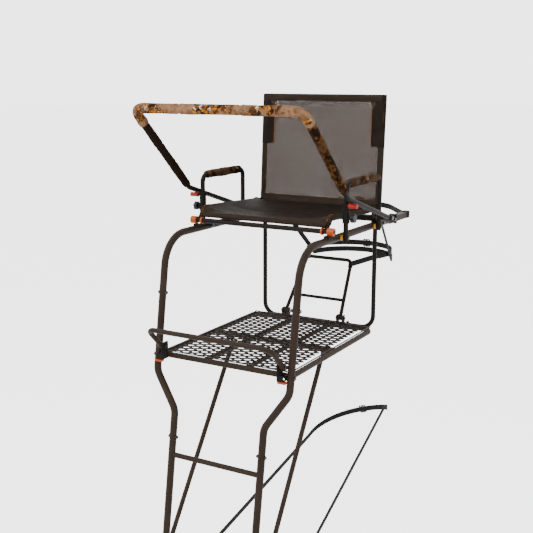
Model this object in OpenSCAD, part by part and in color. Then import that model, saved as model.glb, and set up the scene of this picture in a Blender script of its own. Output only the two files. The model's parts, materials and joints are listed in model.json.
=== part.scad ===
// Ladder tree stand: a three-section ladder that leans on a trunk and carries a mesh
// platform, a flip-up sling seat, a flip-back shooting rail and a fold-back footrest.
// +X is the climber's right, +Y points at the tree, +Z is up; the ground is Z = 0.

/* [Ladder] */
// Distance between rungs, along the ladder
rung_pitch = 380; // [340:5:400]
// Distance between the ladder's stiles, centre to centre
ladder_w = 392; // [370:2:410]
// Lean of the ladder towards the tree, in degrees
lean = 8.75; // [7:0.25:10]
// Outer diameter of stiles, uprights and side rails
stile_d = 28; // [27:0.5:29]
// Outer diameter of a rung
rung_d = 20; // [18:1:22]

/* [Platform] */
// Distance between the uprights at the platform, centre to centre
platform_w = 580; // [570:2:590]
// Length of the platform, front bar to back bar
platform_l = 708; // [700:2:716]
// Outer diameter of the platform tubes
deck_d = 22; // [20:1:23]
// Long way of the deck's diamond openings
diamond_w = 64; // [50:2:80]
// Short way of the deck's diamond openings
diamond_l = 32; // [26:2:40]

/* [Seat and rails] */
// Height of the side rails above the platform tubes
rail_z = 451; // [446:1:456]
// Height of the seat's side tubes above the platform tubes
seat_z = 512; // [508:1:516]
// Height of the backrest's top bar above the platform tubes
back_top_z = 962; // [930:2:990]
// Height of the armrests above the platform tubes
arm_z = 656; // [650:1:662]
// Half width of the shooting rail
shoot_x = 352; // [350:1:356]
// Height of the shooting rail's front bar above the platform tubes
shoot_z = 936; // [920:2:950]
// Outer diameter of the shooting rail's padding
pad_d = 36; // [32:1:38]

/* [Tree] */
// Radius of the trunk that the straps go round
trunk_r = 196; // [190:1:200]
// Distance of the trunk's axis behind the platform's front bar
trunk_y = 1080; // [1076:1:1084]
// Width of the strap webbing
web_w = 25; // [20:1:28]

/* [Hidden] */
$fn = 40;

wall = 1.5;
lap = 0.5;                         // how far a straight tube runs into a bend
fit = 0.1;                         // gap between a spigot and the bore round it
thin_d = 19;                       // rear frame, seat, armrests and footrest tubes
up_x = platform_w / 2;
lad_x = ladder_w / 2;
ladder_y = -17;                    // the ladder's centre line at platform height
neck_s = -335;                     // where the uprights sit on the ladder's top section
rungs = 3;
section_l = rungs * rung_pitch;
first_rung = 39;                   // from a section's top end down to its first rung
spigot_l = 60;
upright_top_s = 215;
rail_bend_r = 130;
rail_end_y = 890;
foot_s = neck_s - 3 * section_l;
foot_plate = [90, 80, 13];
foot_sink = 10.5;                  // the stile's end sits this far above the ground
platform_h = foot_sink - foot_s * cos(lean);
foot_y = ladder_y + foot_s * sin(lean);
arm_end_y = 1054;
rear_end_y = trunk_y + trunk_r + 34.3;
origin_y = (rear_end_y + foot_y - foot_plate.y / 2) / 2;

mid_bar_y = 364;
side_bar_x = 283;
long_bar_x = 92;
deck_z = deck_d / 2 + 0.3;
rear_x = 265.5;
rear_y = 760;
foot_x = 264;
foot_pivot = [-30, 40];            // Y and Z
foot_bar = [-118, 127];
foot_tube_d = 19;
brace_top = [214, 402, -24];
brace_s = -871;                    // where the braces bolt to the ladder
seat_x = 281;
seat_front = [262, 485];           // Y and Z of the seat's support bar
seat_bend_y = 300;
seat_rise = 18;                    // the seat's side tubes climb this much from hinge to bend
sling_front = [270, 508];
seat_pivot_y = 725;
back_x = 278;
arm_x = 322;
arm_y = [350, 662];
stop_z = 575;
stop_y = 340;
knob_z = 528;
peg_d = 18;
shoot_pivot = [700, 484];          // Y and Z
shoot_bend = [296, 609];
shoot_front_y = -52;
shoot_d = 20;
bracket_pivot = [715, 31];         // Y and Z
bracket_top = [869, 253];
bracket_x = [133, 110];            // half width at the pivots and at the top
bracket_d = 16;
web_t = 2;
pin_d = 8;
rest_y = 862;

function unit(v) = v / norm(v);
function aim(v) = [0, acos(v.z / norm(v)), atan2(v.y, v.x)];
function turn(a, b, c) = 180 - acos(unit(a - b) * unit(c - b));
function trim(a, b, c, r) = r * tan(turn(a, b, c) / 2);
function on_ladder(x, s) = [x, ladder_y + s * sin(lean), s * cos(lean)];
// A point at angle a round the trunk, where 0 faces the platform
function round_trunk(a, r, z) = [r * sin(a), trunk_y - r * cos(a), z];
// The angle at which a strap from p meets the trunk
function meets(p, r) = atan2(abs(p.x), trunk_y - p.y) + acos(r / norm([p.x, trunk_y - p.y]));

// Everything below is placed from the platform's front bar
module at_platform() translate([0, -origin_y, platform_h]) children();
module at_ladder() at_platform() translate([0, ladder_y, 0]) rotate([-lean, 0, 0]) children();
module ring(d, w) difference() { circle(d = d); circle(d = d - 2 * w); }
module pipe(p, q, d, w = wall) translate(p) rotate(aim(q - p)) linear_extrude(norm(q - p)) ring(d, w);
module rod(p, q, d) translate(p) rotate(aim(q - p)) cylinder(h = norm(q - p), d = d);
module rod_x(x0, x1, y, z, d) translate([x0, y, z]) rotate([0, 90, 0]) cylinder(h = x1 - x0, d = d);
module both() { children(); mirror([1, 0, 0]) children(); }
module hand(side) mirror([side < 0 ? 1 : 0, 0, 0]) children();

// A bend of radius r at b, on the way from a to c
module elbow(a, b, c, r, d, w) {
    in = unit(b - a);
    out = unit(c - b);
    side = unit(out - (in * out) * in);
    tip = acos(in.z);
    spin = atan2(in.y, in.x);
    across = [cos(tip) * cos(spin), cos(tip) * sin(spin), -sin(tip)];
    along = [-sin(spin), cos(spin), 0];
    translate(b - in * trim(a, b, c, r)) rotate([0, tip, spin])
        rotate([0, 0, atan2(side * along, side * across)]) translate([r, 0, 0]) rotate([90, 0, 180])
            rotate_extrude(angle = 180 - acos(unit(a - b) * out)) translate([r, 0]) ring(d + 0.2, w + 0.2);
}

// A bent tube through pts, with bends of radius r
module bent(pts, r, d, w = wall) {
    last = len(pts) - 1;
    for (i = [0:last - 1]) {
        dir = unit(pts[i + 1] - pts[i]);
        from = i == 0 ? pts[0] : pts[i] + dir * (trim(pts[i - 1], pts[i], pts[i + 1], r) - lap);
        to = i == last - 1 ? pts[last]
            : pts[i + 1] - dir * (trim(pts[i], pts[i + 1], pts[i + 2], r) - lap);
        pipe(from, to, d, w);
    }
    for (i = [1:last - 1]) elbow(pts[i - 1], pts[i], pts[i + 1], r, d, w);
}

// The reduced end that plugs into the next tube, standing on a shoulder at p
module spigot(d, length) {
    translate([0, 0, -4 - lap]) linear_extrude(4 + lap) ring(d + 0.2, wall + 1.8);
    translate([0, 0, -2]) linear_extrude(length + 2) ring(d - 2 * wall - 2 * fit, wall);
}

// Hexagon bolt along +X from the head's underside, with its nut
module bolt_x(length, d = pin_d) {
    rotate([0, -90, 0]) cylinder(h = 0.6 * d, d = 1.7 * d, $fn = 6);
    rotate([0, 90, 0]) cylinder(h = length + d, d = d - 0.2);
    translate([length, 0, 0]) rotate([0, 90, 0]) difference() {
        cylinder(h = 0.7 * d, d = 1.7 * d, $fn = 6);
        translate([0, 0, -1]) cylinder(h = d, d = d - 0.2);
    }
}
module bore_x(d = pin_d) translate([-50, 0, 0]) rotate([0, 90, 0]) cylinder(h = 100, d = d + 0.1);

// ---------- ladder ----------
module ladder_section(k) {
    top = neck_s - k * section_l;
    color("#3b2f28") at_ladder() difference() {
        union() {
            for (x = [-lad_x, lad_x]) {
                pipe([x, 0, top - section_l], [x, 0, top - 4], stile_d);
                translate([x, 0, top]) spigot(stile_d, spigot_l);
            }
            for (i = [0:rungs - 1]) {
                z = top - first_rung - i * rung_pitch;
                pipe([-lad_x + 9, 0, z], [lad_x - 9, 0, z], rung_d);
            }
        }
        for (x = [-lad_x, lad_x]) {
            translate([x, 0, top + spigot_l / 2]) bore_x();
            if (k < 2) translate([x, 0, top - section_l + spigot_l / 2]) bore_x();
            if (k == 0) translate([x, 0, brace_s]) bore_x();
        }
    }
}
module ladder_bottom() ladder_section(2);
module ladder_middle() ladder_section(1);
module ladder_upper() ladder_section(0);

module ladder_feet() color("#2a2320") both() difference() {
    union() {
        translate([lad_x - foot_plate.x / 2, foot_y - origin_y - foot_plate.y / 2, 0]) cube(foot_plate);
        at_ladder() translate([lad_x, 0, foot_s - 3]) cylinder(h = 63, d = stile_d + 8);
    }
    at_ladder() translate([lad_x, 0, foot_s]) cylinder(h = 80, d = stile_d + 2 * fit);
}

module ladder_bolts() color("#8a8580") at_ladder() both() for (k = [0:2])
    translate([lad_x - stile_d / 2 - 0.2, 0, neck_s - k * section_l + spigot_l / 2])
        mirror([1, 0, 0]) translate([-stile_d - 0.4, 0, 0]) bolt_x(stile_d + 0.4);

// ---------- uprights and side rails ----------
module upright() at_ladder() difference() {
    union() {
        bent([[lad_x, 0, neck_s], [lad_x, 0, -200], [up_x, 0, -62], [up_x, 0, upright_top_s - 4]],
            70, stile_d);
        translate([up_x, 0, upright_top_s]) spigot(stile_d, 50);
    }
    translate([lad_x, 0, neck_s + spigot_l / 2]) bore_x();
    translate([up_x, 0, upright_top_s + 25]) bore_x();
    translate([up_x, 0, 0]) bore_x();
}
module upright_left() color("#3b2f28") hand(-1) upright();
module upright_right() color("#3b2f28") hand(1) upright();

module side_rail() difference() {
    at_platform() bent([on_ladder(up_x, upright_top_s), [up_x, ladder_y + rail_z * tan(lean), rail_z],
        [up_x, rail_end_y, rail_z]], rail_bend_r, stile_d);
    at_ladder() translate([up_x, 0, upright_top_s + 25]) bore_x();
    at_platform() for (y = [arm_y.x, arm_y.y, rear_y, 870]) translate([up_x, y, rail_z]) bore_x();
}
module side_rail_left() color("#3b2f28") hand(-1) side_rail();
module side_rail_right() color("#3b2f28") hand(1) side_rail();

module frame_bolts() color("#8a8580") both() {
    at_ladder() {
        for (s = [upright_top_s + 25]) translate([up_x + stile_d / 2 + 0.2, 0, s])
            mirror([1, 0, 0]) bolt_x(stile_d + 0.4);
        translate([up_x + stile_d / 2 + 0.2, 0, 0]) mirror([1, 0, 0]) bolt_x(34.6);
    }
    at_platform() {
        translate([up_x + stile_d / 2 + 0.2, rear_y, rail_z]) mirror([1, 0, 0]) bolt_x(48.6);
        translate([up_x + stile_d / 2 + 4.2, 870, rail_z]) mirror([1, 0, 0]) bolt_x(stile_d + 8.4);
    }
}

// ---------- platform ----------
module platform_frame() color("#352a24") at_platform() {
    difference() {
        union() {
            bent([[side_bar_x, 0, 0], [side_bar_x, platform_l, 0], [-side_bar_x, platform_l, 0],
                [-side_bar_x, 0, 0]], 45, deck_d);
            pipe([-up_x + 15, 0, 0], [up_x - 15, 0, 0], deck_d);
            both() {
                translate([up_x - 19.5, -29, -10]) cube([4.5, 31, 20]);
                translate([brace_top.x + 3, mid_bar_y - 4, -34]) cube([4, 50, 28]);
                for (x = [bracket_x.x - 15.5, bracket_x.x + 11.5])
                    translate([x, bracket_pivot.x - 11.6, 6]) cube([4, 25.6, 38]);
                translate([150, platform_l, -6]) cube([6, rear_y - platform_l - thin_d / 2 - 0.4, 12]);
                translate([147, rear_y - thin_d / 2 - 4.4, -16]) cube([12, 4, 28]);
            }
        }
        both() {
            translate([up_x, ladder_y, 0]) bore_x();
            translate([bracket_x.x, bracket_pivot.x, bracket_pivot.y]) bore_x();
        }
        both() translate([brace_top.x, brace_top.y, brace_top.z]) rotate([0, 90, 0]) cylinder(h = 30, d = pin_d + 0.1);
    }
    pipe([-side_bar_x + 8, mid_bar_y, 0], [side_bar_x - 8, mid_bar_y, 0], deck_d);
    for (x = [-long_bar_x, long_bar_x]) {
        pipe([x, 8, 0], [x, mid_bar_y - 7, 0], thin_d);
        pipe([x, mid_bar_y + 7, 0], [x, platform_l - 8, 0], thin_d);
    }
}

// Expanded metal: a sheet with staggered diamond openings
module platform_mesh() {
    size = [2 * side_bar_x - 10, platform_l - 10];
    strand = 5;
    cols = floor(size.x / diamond_w);
    rows = floor(size.y / diamond_l * 2) - 2;
    color("#2e2622") at_platform() translate([-size.x / 2, 5, deck_z]) linear_extrude(2.5) difference() {
        square(size);
        for (j = [0:rows], i = [0:cols - 1 - j % 2])
            translate([(size.x - cols * diamond_w) / 2 + (i + 0.5 + j % 2 / 2) * diamond_w,
                       (j + 1.3) * diamond_l / 2])
                polygon([[-diamond_w / 2 + strand, 0], [0, -diamond_l / 2 + strand / 1.6],
                         [diamond_w / 2 - strand, 0], [0, diamond_l / 2 - strand / 1.6]]);
    }
}

module rear_frame() color("#241d1a") at_platform() difference() {
    union() {
        bent([[rear_x, rear_y, 466], [rear_x, rear_y, -8], [-rear_x, rear_y, -8], [-rear_x, rear_y, 466]],
            55, thin_d);
        both() translate([rear_x, rear_y, 470]) {
            translate([0, 0, -4 - lap]) linear_extrude(4 + lap) ring(thin_d + 0.2, wall + 1.6);
            translate([0, 0, -2]) linear_extrude(26) ring(thin_d - 2 * wall - 2 * fit, wall);
        }
    }
    both() translate([rear_x, rear_y, rail_z]) bore_x();
}

module brace() {
    bottom = on_ladder(0, brace_s);
    low = [lad_x + stile_d / 2 + 8.6, bottom.y, bottom.z];
    high = [brace_top.x - 6, brace_top.y, brace_top.z];
    way = unit(high - low);
    tilt = -atan2(way.y, way.z);
    at_platform() difference() {
        union() {
            pipe(low + way * 30, high - way * 30, thin_d, 1.4);
            rod(low + way * 26, low + way * (30 + lap), thin_d + 0.2);
            rod(high - way * (30 + lap), high - way * 26, thin_d + 0.2);
            translate(low) rotate([tilt, 0, 0]) translate([-5.6, -8, -12]) cube([4.6, 16, 40]);
            translate(high) rotate([tilt, 0, 0]) translate([3.5, -8, -28]) cube([5, 16, 40]);
        }
        translate(low) bore_x();
        translate([brace_top.x - 40, high.y, high.z]) rotate([0, 90, 0]) cylinder(h = 80, d = pin_d + 0.1);
    }
}
module brace_left() color("#3b2f28") hand(-1) brace();
module brace_right() color("#3b2f28") hand(1) brace();

module brace_bolts() color("#8a8580") both() {
    bottom = on_ladder(0, brace_s);
    at_platform() translate([lad_x + stile_d / 2 + 8, bottom.y, bottom.z])
        mirror([1, 0, 0]) bolt_x(stile_d + 8.2);
    at_platform() translate([brace_top.x - 2.7, brace_top.y, brace_top.z]) bolt_x(10);
}

// ---------- footrest ----------
module footrest() color("#4a3d35") at_platform() difference() {
    union() {
        bent([[foot_x, foot_pivot.x - 6, foot_pivot.y + 6], [foot_x, foot_bar.x, foot_bar.y],
              [-foot_x, foot_bar.x, foot_bar.y], [-foot_x, foot_pivot.x - 6, foot_pivot.y + 6]],
            34, foot_tube_d);
        both() rod_x(foot_x - 9.5, foot_x + 9.5, foot_pivot.x, foot_pivot.y, 22);
    }
    both() translate([foot_x, foot_pivot.x, foot_pivot.y]) bore_x();
}

module footrest_brackets() color("#1c1715") at_platform() both() difference() {
    union() {
        translate([foot_x - 15, -50, -9]) cube([5, 40, 66]);
        translate([foot_x - 15, -50, -9]) cube([26, 18, 4]);
        translate([foot_x - 15, -50, -9]) cube([26, 3, 22]);
    }
    translate([foot_x, foot_pivot.x, foot_pivot.y]) bore_x();
    rod_x(-up_x, up_x, 0, 0, deck_d + 2 * fit);
}

module footrest_caps() color("#ff6e1e") at_platform() both()
    translate([foot_x - 12, -51, -17]) cube([32, 17, 7.8]);

module hinge_pins() color("#8a8580") {
    at_platform() both() {
        translate([foot_x - 15.3, foot_pivot.x, foot_pivot.y]) bolt_x(25.6);
        translate([bracket_x.x - 15.8, bracket_pivot.x, bracket_pivot.y]) bolt_x(31.6);
        translate([seat_x - 14.3, seat_pivot_y, seat_z]) bolt_x(28.6);
    }
    at_ratchet() translate([axle.x, axle.y, -25]) cylinder(h = 50, d = 12);
}

// ---------- seat ----------
module seat_frame() color("#241d1a") at_platform() difference() {
    union() {
        both() {
            bent([[seat_x, seat_pivot_y - 14, seat_z], [seat_x, seat_bend_y, seat_z + seat_rise],
                  [seat_x, seat_front.x + 2, seat_front.y + 2]], 14, thin_d);
            rod_x(seat_x - 9.5, seat_x + 9.5, seat_pivot_y, seat_z, 22);
            translate([seat_x - 7, seat_pivot_y - 26, seat_z - 6]) cube([14, 20, 12]);
        }
        rod_x(-312, 312, seat_front.x, seat_front.y, thin_d);
        pipe([-seat_x + 5, sling_front.x, sling_front.y], [seat_x - 5, sling_front.x, sling_front.y], 16);
        pipe([-seat_x + 5, 690, seat_z + 1.5], [seat_x - 5, 690, seat_z + 1.5], 16);
    }
    both() translate([seat_x, seat_pivot_y, seat_z]) bore_x();
}

module seat_fabric() color("#3c322c") at_platform() translate([0, seat_pivot_y, seat_z])
    rotate([-atan(seat_rise / (seat_pivot_y - seat_bend_y)), 0, 0])
        translate([-seat_x - 9, -472, thin_d / 2 + 0.3]) cube([2 * seat_x + 18, 455, 5]);

module seat_sleeves() color("#ff6e1e") at_platform() both() {
    difference() {
        union() {
            rod_x(291.5, 316, seat_front.x, seat_front.y, 30);
            rod_x(264, 270.5, seat_front.x, seat_front.y, 27);
        }
        rod_x(260, 312.2, seat_front.x, seat_front.y, thin_d + 2 * fit);
        rod_x(312.1, 330, seat_front.x, seat_front.y, 14);
    }
}

module seat_rests() color("#1c1715") at_platform() both() difference() {
    translate([up_x - 11, seat_front.x - 12, rail_z + 6]) cube([23, 24, 12.7]);
    rod([up_x, 200, rail_z], [up_x, 300, rail_z], stile_d + 2 * fit);
}

module seat_hinge_brackets() color("#1c1715") at_platform() both() difference() {
    union() {
        for (x = [seat_x - 14, seat_x + 10]) translate([x, seat_pivot_y - 12, rail_z + 12]) cube([4, 24, 61]);
        translate([seat_x - 14, seat_pivot_y - 12, rail_z + 4]) cube([28, 24, 17]);
    }
    rod([up_x, 700, rail_z], [up_x, 750, rail_z], stile_d + 2 * fit);
    translate([seat_x, seat_pivot_y, seat_z]) bore_x();
}

// ---------- backrest ----------
back_low = [764, 540];
back_high_y = 791;
module backrest_frame() color("#241d1a") at_platform() bent([[rear_x, rear_y, 470.3], [rear_x, rear_y, 500],
    [back_x, back_low.x, back_low.y], [back_x, back_high_y, back_top_z], [-back_x, back_high_y, back_top_z],
    [-back_x, back_low.x, back_low.y], [-rear_x, rear_y, 500], [-rear_x, rear_y, 470.3]], 25, thin_d);

back_tilt = atan((back_high_y - back_low.x) / (back_top_z - back_low.y));
module in_back() at_platform() translate([0, back_low.x, back_low.y]) rotate([-back_tilt, 0, 0]) children();
module backrest_fabric() color("#6a5d56") in_back() translate([-250, -2.5, -22]) cube([500, 5, back_top_z - 532]);
module pocket() in_back() translate([228, -15, 222]) cube([61, 4, back_top_z - 758]);
module pocket_left() color("#33291f") hand(-1) pocket();
module pocket_right() color("#33291f") hand(1) pocket();

// ---------- armrests ----------
module armrest() at_platform() difference() {
    bent([[arm_x, arm_y.x, rail_z - 14], [arm_x, arm_y.x, arm_z], [arm_x, arm_y.y, arm_z],
          [arm_x, arm_y.y, rail_z - 14]], 32, thin_d);
    for (y = arm_y) translate([arm_x, y, rail_z]) bore_x();
}
module armrest_left() color("#241d1a") hand(-1) armrest();
module armrest_right() color("#241d1a") hand(1) armrest();
module armrest_pad() at_platform()
    pipe([arm_x, arm_y.x + 34, arm_z], [arm_x, arm_y.y - 34, arm_z], 30, (30 - thin_d) / 2 - 0.3);
module armrest_pad_left() color("#7a6546") hand(-1) armrest_pad();
module armrest_pad_right() color("#7a6546") hand(1) armrest_pad();

module armrest_spacers() color("#ffa83c") at_platform() both() for (y = arm_y) difference() {
    rod_x(up_x + 14.2, arm_x - 9.7, y, rail_z, 20);
    translate([arm_x, y, rail_z]) bore_x();
}
module armrest_bolts() color("#8a8580") at_platform() both() for (y = arm_y)
    translate([arm_x + 9.7, y, rail_z]) mirror([1, 0, 0]) bolt_x(56);

// ---------- shooting rail stops ----------
module stop() at_platform() difference() {
    union() {
        rod([arm_x, arm_y.x, knob_z - 20], [arm_x, arm_y.x, stop_z + 12], 27);
        rod_x(arm_x + 5, shoot_x + 19, stop_y, stop_z, 9);
        rod_x(arm_x + 8, arm_x + 17, arm_y.x, knob_z, 16);
    }
    rod([arm_x, arm_y.x, 400], [arm_x, arm_y.x, 640], thin_d + 0.12);
    rod_x(arm_x, arm_x + 30, arm_y.x, knob_z, pin_d + 0.1);
}
module stop_left() color("#1c1715") hand(-1) stop();
module stop_right() color("#1c1715") hand(1) stop();
module stop_sleeve() at_platform() difference() {
    rod_x(arm_x + 15, shoot_x + 20, stop_y, stop_z, peg_d);
    rod_x(arm_x, shoot_x + 19.1, stop_y, stop_z, 9.2);
}
module stop_sleeve_left() color("#e1322a") hand(-1) stop_sleeve();
module stop_sleeve_right() color("#e1322a") hand(1) stop_sleeve();

// Star knob with a threaded stud that bears on the armrest tube
module knob() at_platform() translate([arm_x, arm_y.x, knob_z]) rotate([0, 90, 0]) {
    translate([0, 0, 9.8]) cylinder(h = 8, d = pin_d);
    translate([0, 0, 17.6]) cylinder(h = 5, d = 15);
    difference() {
        translate([0, 0, 22]) cylinder(h = 16, d = 34);
        for (a = [0:72:359]) rotate(a) translate([20, 0, 21]) cylinder(h = 18, d = 13);
    }
}
module knob_left() color("#15110f") hand(-1) knob();
module knob_right() color("#15110f") hand(1) knob();

// ---------- shooting rail ----------
function shoot_pt(side, i) = [side * shoot_x, [shoot_pivot, shoot_bend, [shoot_front_y, shoot_z]][i].x,
    [shoot_pivot, shoot_bend, [shoot_front_y, shoot_z]][i].y];
module shooting_rail() color("#241d1a") at_platform() difference() {
    union() {
        bent([shoot_pt(1, 0) + [0, -9, 2.8], shoot_pt(1, 1), shoot_pt(1, 2), shoot_pt(-1, 2),
              shoot_pt(-1, 1), shoot_pt(-1, 0) + [0, -9, 2.8]], 45, shoot_d);
        both() rod_x(shoot_x - 10.5, shoot_x + 10.5, shoot_pivot.x, shoot_pivot.y, 26);
    }
    both() translate([shoot_x, shoot_pivot.x, shoot_pivot.y]) bore_x(10);
}
pad_wall = (pad_d - shoot_d) / 2 - 0.3;
arm_dir = unit(shoot_pt(1, 1) - shoot_pt(1, 2));
module rail_pad_front() color("#a98762") at_platform() bent([shoot_pt(1, 2) + arm_dir * 110, shoot_pt(1, 2),
    shoot_pt(-1, 2), shoot_pt(1, 2) + arm_dir * 110 - [2 * shoot_x, 0, 0]], 45, pad_d, pad_wall);
module rail_pad_side() at_platform()
    pipe(shoot_pt(1, 2) + arm_dir * 112, shoot_pt(1, 1) - arm_dir * 20, pad_d, pad_wall);
module rail_pad_left() color("#5c4630") hand(-1) rail_pad_side();
module rail_pad_right() color("#5c4630") hand(1) rail_pad_side();

module rail_pivot_brackets() color("#1c1715") at_platform() both() difference() {
    union() {
        translate([up_x + 14.3, shoot_pivot.x - 18, rail_z - 14]) cube([5, 36, 62]);
        translate([up_x - 8, shoot_pivot.x - 8, rail_z + 6]) cube([24, 16, 14]);
        rod_x(up_x + 19, shoot_x - 10.8, shoot_pivot.x, shoot_pivot.y, 20);
    }
    rod([up_x, 650, rail_z], [up_x, 740, rail_z], stile_d + 2 * fit);
    translate([shoot_x - 20, shoot_pivot.x, shoot_pivot.y]) bore_x(10);
}
module rail_pivot_bolts() color("#8a8580") at_platform() both()
    translate([shoot_x + 10.8, shoot_pivot.x, shoot_pivot.y]) mirror([1, 0, 0]) bolt_x(60, 10);

// ---------- tree side ----------
jaw = [50, 125];
jaw_h = 40;
function jaw_edge(x) = trunk_y - trunk_r + 19.4 + (x - 85) * 0.4816;
module tree_rest() color("#2a2320") at_platform() difference() {
    union() {
        difference() {
            translate([-up_x + 16, rest_y - 12.5, rail_z - 12.5]) cube([2 * up_x - 32, 25, 25]);
            translate([-up_x + 20, rest_y - 10.5, rail_z - 10.5]) cube([2 * up_x - 40, 21, 21]);
        }
        both() {
            translate([up_x, rest_y + 12.5, rail_z]) rotate([90, 0, 0]) linear_extrude(25) ring(stile_d + 8, 3.9);
            translate([0, 0, rail_z - jaw_h / 2]) linear_extrude(jaw_h) polygon(concat(
                [[jaw.x, rest_y + 12.4]],
                [for (i = [0:10]) let (x = jaw.x + i * (jaw.y - jaw.x) / 10) [x, jaw_edge(x) - 3 * (i % 2)]],
                [[jaw.y, rest_y + 12.4]]));
            translate([229, rest_y + 12.4, rail_z - 8]) cube([12, 9, 16]);
        }
    }
    both() {
        translate([up_x, 870, rail_z]) bore_x();
        rod_x(up_x - 24, up_x - stile_d / 2 - 4.1, 870, rail_z, 18);
    }
}

module tree_arm() at_platform() difference() {
    union() {
        difference() {
            translate([up_x - 13, 897, rail_z - 13]) cube([26, arm_end_y - 897, 26]);
            translate([up_x - 11, 899, rail_z - 11]) cube([22, arm_end_y - 902, 22]);
        }
        translate([up_x - 17, 890.3, rail_z - 20]) cube([34, 7, 40]);
        rod([up_x, 836, rail_z], [up_x, 892, rail_z], stile_d - 2 * wall - 2 * fit);
    }
    translate([up_x, 870, rail_z]) bore_x();
}
module tree_arm_left() color("#3b2f28") hand(-1) tree_arm();
module tree_arm_right() color("#3b2f28") hand(1) tree_arm();

function bracket_at(t, side) = [side * (bracket_x.x + (bracket_x.y - bracket_x.x) * t),
    bracket_pivot.x + (bracket_top.x - bracket_pivot.x) * t,
    bracket_pivot.y + (bracket_top.y - bracket_pivot.y) * t];
module tree_bracket() color("#241d1a") at_platform() difference() {
    union() {
        bent([bracket_at(0.03, 1), bracket_at(1, 1), bracket_at(1, -1), bracket_at(0.03, -1)], 24, bracket_d);
        rod(bracket_at(0.3, -1) + [5, 0, 0], bracket_at(0.3, 1) - [5, 0, 0], 14);
        both() rod_x(bracket_x.x - 11, bracket_x.x + 11, bracket_pivot.x, bracket_pivot.y, 20);
    }
    both() translate([bracket_x.x, bracket_pivot.x, bracket_pivot.y]) bore_x();
}

// ---------- straps ----------
// Flat webbing along pts, standing on its edge
module webbing(pts) {
    last = len(pts) - 1;
    corners = [[-1, -1], [1, -1], [1, 1], [-1, 1]];
    ribbon = [for (i = [0:last]) let (way = unit(pts[min(i + 1, last)] - pts[max(i - 1, 0)]),
                                      up = unit([0, 0, 1] - way.z * way), out = cross(way, up))
        for (c = corners) pts[i] + up * c.x * web_w / 2 + out * c.y * web_t / 2];
    sides = [for (i = [0:last - 1]) for (k = [0:3])
        let (a = 4 * i + k, b = 4 * i + (k + 1) % 4) each [[a, b + 4, b], [a, a + 4, b + 4]]];
    polyhedron(ribbon, concat([[0, 1, 2, 3]], sides, [[4 * last + 3, 4 * last + 2, 4 * last + 1, 4 * last]]));
}
web_r = trunk_r + 1.2;
// From p on the right side, round the back of the trunk to q on the left side
function strap_route(p, q, zp, zq, steps, r = web_r) = let (ap = meets(p, r), aq = 360 - meets(q, r))
    concat([p], [for (i = [0:steps]) round_trunk(ap + (aq - ap) * i / steps, r, zp + (zq - zp) * i / steps)], [q]);
arms_from = [up_x - 12, 1040, rail_z];
cinch_from = [235, rest_y + 20, rail_z - 2];
cinch_z = 225;
loop_from = [112, 858, 239];
loop_z = 258;
stabiliser_left = on_ladder(0, -945);
stabiliser_right = on_ladder(0, -1097);
stabiliser_z = [-480, -700];
module strap_arms() color("#17120f") at_platform()
    webbing(strap_route(arms_from, [-arms_from.x, arms_from.y, arms_from.z], rail_z, rail_z, 16));
module strap_cinch() color("#17120f") at_platform()
    webbing(strap_route(cinch_from, [-cinch_from.x, cinch_from.y, cinch_from.z], cinch_z, cinch_z, 16, web_r + 2.6));
module strap_bracket() color("#17120f") at_platform()
    webbing(strap_route(loop_from, [-loop_from.x, loop_from.y, loop_from.z], loop_z, loop_z, 20));
module strap_stabiliser() color("#17120f") at_platform() webbing(strap_route(
    [lad_x, stabiliser_right.y + stile_d / 2, stabiliser_right.z],
    [-lad_x, stabiliser_left.y + stile_d / 2, stabiliser_left.z],
    stabiliser_z.x, stabiliser_z.y, 20));

// Ratchet behind the trunk, with its spool upright
ratchet_y = trunk_y + web_r + web_t / 2 + 0.1;
axle = [22, 17];
module at_ratchet() at_platform() translate([0, ratchet_y, rail_z]) children();
module ratchet_frame() color("#5b5a58") at_ratchet() difference() {
    union() {
        translate([-48, 0, -18]) cube([96, 2.5, 36]);
        for (z = [-20, 18]) translate([-4, 0, z]) cube([52, 28, 2]);
    }
    translate([axle.x, axle.y, -30]) cylinder(h = 60, d = 12.1);
}
module ratchet_spool() color("#8a8580") at_ratchet() translate([axle.x, axle.y, 0]) difference() {
    union() {
        translate([0, 0, -16]) cylinder(h = 32, d = 20);
        for (z = [-17.6, 15.6]) translate([0, 0, z]) linear_extrude(2) difference() {
            circle(d = 25);
            for (a = [0:36:359]) rotate(a) translate([13, 0]) square(3.4, center = true);
        }
    }
    translate([0, 0, -30]) cylinder(h = 60, d = 12.3);
}
module ratchet_handle() color("#3f4a3a") at_ratchet() difference() {
    union() {
        for (z = [-23.5, 21.5]) translate([0, 0, z]) linear_extrude(2) polygon(
            [[axle.x + 11, axle.y - 6], [axle.x + 11, axle.y + 8], [axle.x - 4, axle.y + 12],
             [-78, axle.y + 15], [-78, axle.y + 3], [axle.x - 8, axle.y - 6]]);
        translate([-78, axle.y + 11, -22]) cube([46, 4, 44]);
    }
    translate([axle.x, axle.y, -40]) cylinder(h = 80, d = 12.12);
}

// Ladder-lock buckle on webbing that crosses the back of the trunk
module buckle(z, slope) at_platform() translate([0, trunk_y + web_r + web_t / 2 + 0.1, z])
    rotate([90, slope, 0]) translate([0, 0, -4]) linear_extrude(4) difference() {
        square([34, web_w + 12], center = true);
        for (x = [-8, 8]) translate([x, 0]) square([7, web_w + 3], center = true);
    }
module bracket_strap_buckle() color("#5b5a58") buckle(loop_z, 0);
module stabiliser_buckle() color("#5b5a58") buckle((stabiliser_z.x + stabiliser_z.y) / 2, -19.6);

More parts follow.
